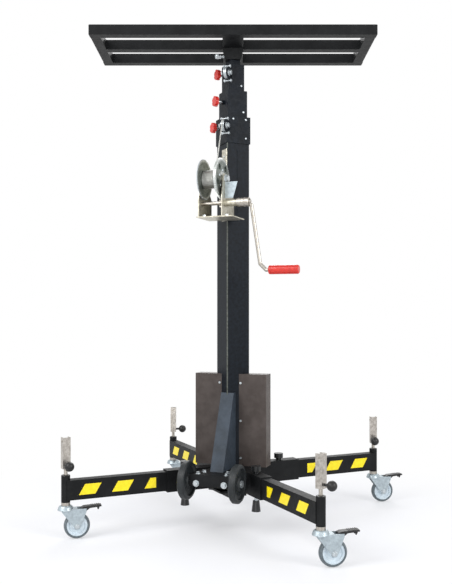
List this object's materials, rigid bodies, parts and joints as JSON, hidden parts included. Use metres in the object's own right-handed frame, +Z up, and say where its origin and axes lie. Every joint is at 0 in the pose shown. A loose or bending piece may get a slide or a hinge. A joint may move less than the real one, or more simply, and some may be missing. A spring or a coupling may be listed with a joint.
{
  "type": "manual stacker",
  "caption": "Hand-winched telescopic mast lift with a flat carrying frame on top and four outriggers on braked swivel castors.",
  "frame": {"origin": "on the floor, on the mast's vertical axis", "axes": "+Z up along the mast; -Y is the front, the side with the winch and the transport wheels; +X is the crank's side"},
  "size_m": [1.2192, 1.1149, 1.9909],
  "materials": {
    "black_steel": "satin powder coat",
    "brown_steel": "satin powder coat",
    "grey_steel": "satin powder coat",
    "zinc": "zinc plated",
    "arm_steel": "zinc plated",
    "rope_steel": "stranded wire",
    "red_plastic": "moulded",
    "black_plastic": "moulded",
    "grey_tyre": "moulded",
    "black_rubber": "moulded"
  },
  "bodies": {
    "base": {"base_frame": "black_steel", "front_beam": "black_steel", "transport_axle": "zinc", "mast_brace": "grey_steel", "housing_left": "brown_steel", "housing_right": "brown_steel", "mast_tube_1": "black_steel", "collar_1": "black_steel", "winch_frame": "zinc", "housing_bolts": "zinc", "wire_rope": "rope_steel", "outrigger_1": "black_steel", "outrigger_2": "black_steel", "outrigger_3": "black_steel", "outrigger_4": "black_steel"},
    "transport_left": {"transport_wheel_left": "black_rubber"},
    "transport_right": {"transport_wheel_right": "black_rubber"},
    "section_2": {"mast_tube_2": "black_steel", "collar_2": "black_steel"},
    "section_3": {"mast_tube_3": "black_steel", "collar_3": "black_steel"},
    "section_4": {"mast_tube_4": "black_steel"},
    "platform": {"platform_head": "black_steel", "platform_front_rail": "black_steel", "platform_cross_rails": "black_steel", "platform_side_rails": "black_steel"},
    "clamp": {"head_clamp": "zinc"},
    "drum": {"winch_drum": "zinc", "winch_gear": "zinc"},
    "crank": {"winch_crank": "zinc"},
    "grip": {"crank_grip": "red_plastic"},
    "knob_1": {"lock_knob_1": "red_plastic"},
    "knob_2": {"lock_knob_2": "red_plastic"},
    "knob_3": {"lock_knob_3": "red_plastic"},
    "sheave_low": {"sheave_1": "zinc"},
    "sheave_high": {"sheave_3": "zinc"},
    "jack_1": {"jack_screw_1": "zinc"},
    "arm_1": {"jack_crank_1": "arm_steel"},
    "castor_1": {"castor_fork_1": "zinc"},
    "wheel_1": {"castor_wheel_1": "grey_tyre"},
    "pedal_1": {"brake_pedal_1": "black_plastic"},
    "foot_1": {"stabiliser_1": "black_plastic"},
    "jack_2": {"jack_screw_2": "zinc"},
    "arm_2": {"jack_crank_2": "arm_steel"},
    "castor_2": {"castor_fork_2": "zinc"},
    "wheel_2": {"castor_wheel_2": "grey_tyre"},
    "pedal_2": {"brake_pedal_2": "black_plastic"},
    "foot_2": {"stabiliser_2": "black_plastic"},
    "jack_3": {"jack_screw_3": "zinc"},
    "arm_3": {"jack_crank_3": "arm_steel"},
    "castor_3": {"castor_fork_3": "zinc"},
    "wheel_3": {"castor_wheel_3": "grey_tyre"},
    "pedal_3": {"brake_pedal_3": "black_plastic"},
    "foot_3": {"stabiliser_3": "black_plastic"},
    "jack_4": {"jack_screw_4": "zinc"},
    "arm_4": {"jack_crank_4": "arm_steel"},
    "castor_4": {"castor_fork_4": "zinc"},
    "wheel_4": {"castor_wheel_4": "grey_tyre"},
    "pedal_4": {"brake_pedal_4": "black_plastic"},
    "foot_4": {"stabiliser_4": "black_plastic"}
  },
  "joints": [
    {"name": "mast_lift_2", "type": "slide", "parent": "base", "child": "section_2", "axis": [0, 0, 1], "range_m": [0, 1.2]},
    {"name": "mast_lift_3", "type": "slide", "parent": "section_2", "child": "section_3", "axis": [0, 0, 1], "range_m": [0, 1.2]},
    {"name": "mast_lift_4", "type": "slide", "parent": "section_3", "child": "section_4", "axis": [0, 0, 1], "range_m": [0, 1.2]},
    {"name": "platform_swivel", "type": "hinge", "parent": "section_4", "child": "platform", "pos_m": [0, 0, 1.9069], "axis": [0, 0, 1], "continuous": true},
    {"name": "clamp_turn", "type": "hinge", "parent": "platform", "child": "clamp", "pos_m": [0, 0, 1.9269], "axis": [-0.9397, -0.342, 0], "continuous": true},
    {"name": "drum_turn", "type": "hinge", "parent": "base", "child": "drum", "pos_m": [0, -0.168, 1.391], "axis": [1, 0, 0], "continuous": true},
    {"name": "crank_turn", "type": "hinge", "parent": "base", "child": "crank", "pos_m": [0, -0.168, 1.29475], "axis": [1, 0, 0], "continuous": true},
    {"name": "grip_turn", "type": "hinge", "parent": "crank", "child": "grip", "pos_m": [0, -0.168, 1.02675], "axis": [1, 0, 0], "continuous": true},
    {"name": "transport_left_turn", "type": "hinge", "parent": "base", "child": "transport_left", "pos_m": [0, -0.24, 0.201], "axis": [1, 0, 0], "continuous": true},
    {"name": "transport_right_turn", "type": "hinge", "parent": "base", "child": "transport_right", "pos_m": [0, -0.24, 0.201], "axis": [1, 0, 0], "continuous": true},
    {"name": "lock_1_turn", "type": "hinge", "parent": "base", "child": "knob_1", "pos_m": [0, 0, 1.62136], "axis": [-0.7071, -0.7071, 0], "range_deg": [0, 720]},
    {"name": "lock_2_turn", "type": "hinge", "parent": "section_2", "child": "knob_2", "pos_m": [0, 0, 1.73166], "axis": [-0.7071, -0.7071, 0], "range_deg": [0, 720]},
    {"name": "lock_3_turn", "type": "hinge", "parent": "section_3", "child": "knob_3", "pos_m": [0, 0, 1.84196], "axis": [-0.7071, -0.7071, 0], "range_deg": [0, 720]},
    {"name": "sheave_low_turn", "type": "hinge", "parent": "base", "child": "sheave_low", "pos_m": [0, -0.10437, 1.618], "axis": [1, 0, 0], "continuous": true},
    {"name": "sheave_high_turn", "type": "hinge", "parent": "section_3", "child": "sheave_high", "pos_m": [0, -0.0775, 1.8386], "axis": [1, 0, 0], "continuous": true},
    {"name": "jack_1_lift", "type": "slide", "parent": "base", "child": "jack_1", "axis": [0, 0, -1], "range_m": [0, 0.024]},
    {"name": "arm_1_fold", "type": "hinge", "parent": "jack_1", "child": "arm_1", "pos_m": [-0.49639, -0.49639, 0.372], "axis": [-0.6428, -0.766, 0], "range_deg": [0, 95]},
    {"name": "castor_1_swivel", "type": "hinge", "parent": "jack_1", "child": "castor_1", "pos_m": [-0.49639, -0.49639, 0], "axis": [0, 0, 1], "continuous": true},
    {"name": "wheel_1_roll", "type": "hinge", "parent": "castor_1", "child": "wheel_1", "pos_m": [-0.46198, -0.4723, 0.05], "axis": [-0.5736, 0.8192, 0], "continuous": true},
    {"name": "pedal_1_press", "type": "hinge", "parent": "castor_1", "child": "pedal_1", "pos_m": [-0.43905, -0.45624, 0.1107], "axis": [-0.5736, 0.8192, 0], "range_deg": [0, 14]},
    {"name": "foot_1_raise", "type": "slide", "parent": "base", "child": "foot_1", "axis": [0, 0, 1], "range_m": [0, 0.02]},
    {"name": "jack_2_lift", "type": "slide", "parent": "base", "child": "jack_2", "axis": [0, 0, -1], "range_m": [0, 0.024]},
    {"name": "arm_2_fold", "type": "hinge", "parent": "jack_2", "child": "arm_2", "pos_m": [0.49639, -0.49639, 0.372], "axis": [-0.342, -0.9397, 0], "range_deg": [0, 95]},
    {"name": "castor_2_swivel", "type": "hinge", "parent": "jack_2", "child": "castor_2", "pos_m": [0.49639, -0.49639, 0], "axis": [0, 0, 1], "continuous": true},
    {"name": "wheel_2_roll", "type": "hinge", "parent": "castor_2", "child": "wheel_2", "pos_m": [0.53276, -0.47539, 0.05], "axis": [-0.5, 0.866, 0], "continuous": true},
    {"name": "pedal_2_press", "type": "hinge", "parent": "castor_2", "child": "pedal_2", "pos_m": [0.55701, -0.46139, 0.1107], "axis": [-0.5, 0.866, 0], "range_deg": [0, 14]},
    {"name": "foot_2_raise", "type": "slide", "parent": "base", "child": "foot_2", "axis": [0, 0, 1], "range_m": [0, 0.02]},
    {"name": "jack_3_lift", "type": "slide", "parent": "base", "child": "jack_3", "axis": [0, 0, -1], "range_m": [0, 0.024]},
    {"name": "arm_3_fold", "type": "hinge", "parent": "jack_3", "child": "arm_3", "pos_m": [0.49639, 0.49639, 0.372], "axis": [-0.9397, -0.342, 0], "range_deg": [0, 95]},
    {"name": "castor_3_swivel", "type": "hinge", "parent": "jack_3", "child": "castor_3", "pos_m": [0.49639, 0.49639, 0], "axis": [0, 0, 1], "continuous": true},
    {"name": "wheel_3_roll", "type": "hinge", "parent": "castor_3", "child": "wheel_3", "pos_m": [0.53276, 0.51739, 0.05], "axis": [-0.5, 0.866, 0], "continuous": true},
    {"name": "pedal_3_press", "type": "hinge", "parent": "castor_3", "child": "pedal_3", "pos_m": [0.55701, 0.53139, 0.1107], "axis": [-0.5, 0.866, 0], "range_deg": [0, 14]},
    {"name": "foot_3_raise", "type": "slide", "parent": "base", "child": "foot_3", "axis": [0, 0, 1], "range_m": [0, 0.02]},
    {"name": "jack_4_lift", "type": "slide", "parent": "base", "child": "jack_4", "axis": [0, 0, -1], "range_m": [0, 0.024]},
    {"name": "arm_4_fold", "type": "hinge", "parent": "jack_4", "child": "arm_4", "pos_m": [-0.49639, 0.49639, 0.372], "axis": [0.342, -0.9397, 0], "range_deg": [0, 95]},
    {"name": "castor_4_swivel", "type": "hinge", "parent": "jack_4", "child": "castor_4", "pos_m": [-0.49639, 0.49639, 0], "axis": [0, 0, 1], "continuous": true},
    {"name": "wheel_4_roll", "type": "hinge", "parent": "castor_4", "child": "wheel_4", "pos_m": [-0.45832, 0.51414, 0.05], "axis": [-0.4226, 0.9063, 0], "continuous": true},
    {"name": "pedal_4_press", "type": "hinge", "parent": "castor_4", "child": "pedal_4", "pos_m": [-0.43295, 0.52597, 0.1107], "axis": [-0.4226, 0.9063, 0], "range_deg": [0, 14]},
    {"name": "foot_4_raise", "type": "slide", "parent": "base", "child": "foot_4", "axis": [0, 0, 1], "range_m": [0, 0.02]}
  ],
  "couplings": [
    {"joint": "mast_lift_3", "follows": "mast_lift_2", "ratio": 1},
    {"joint": "mast_lift_4", "follows": "mast_lift_2", "ratio": 1},
    {"joint": "crank_turn", "follows": "drum_turn", "ratio": -4.9231}
  ]
}
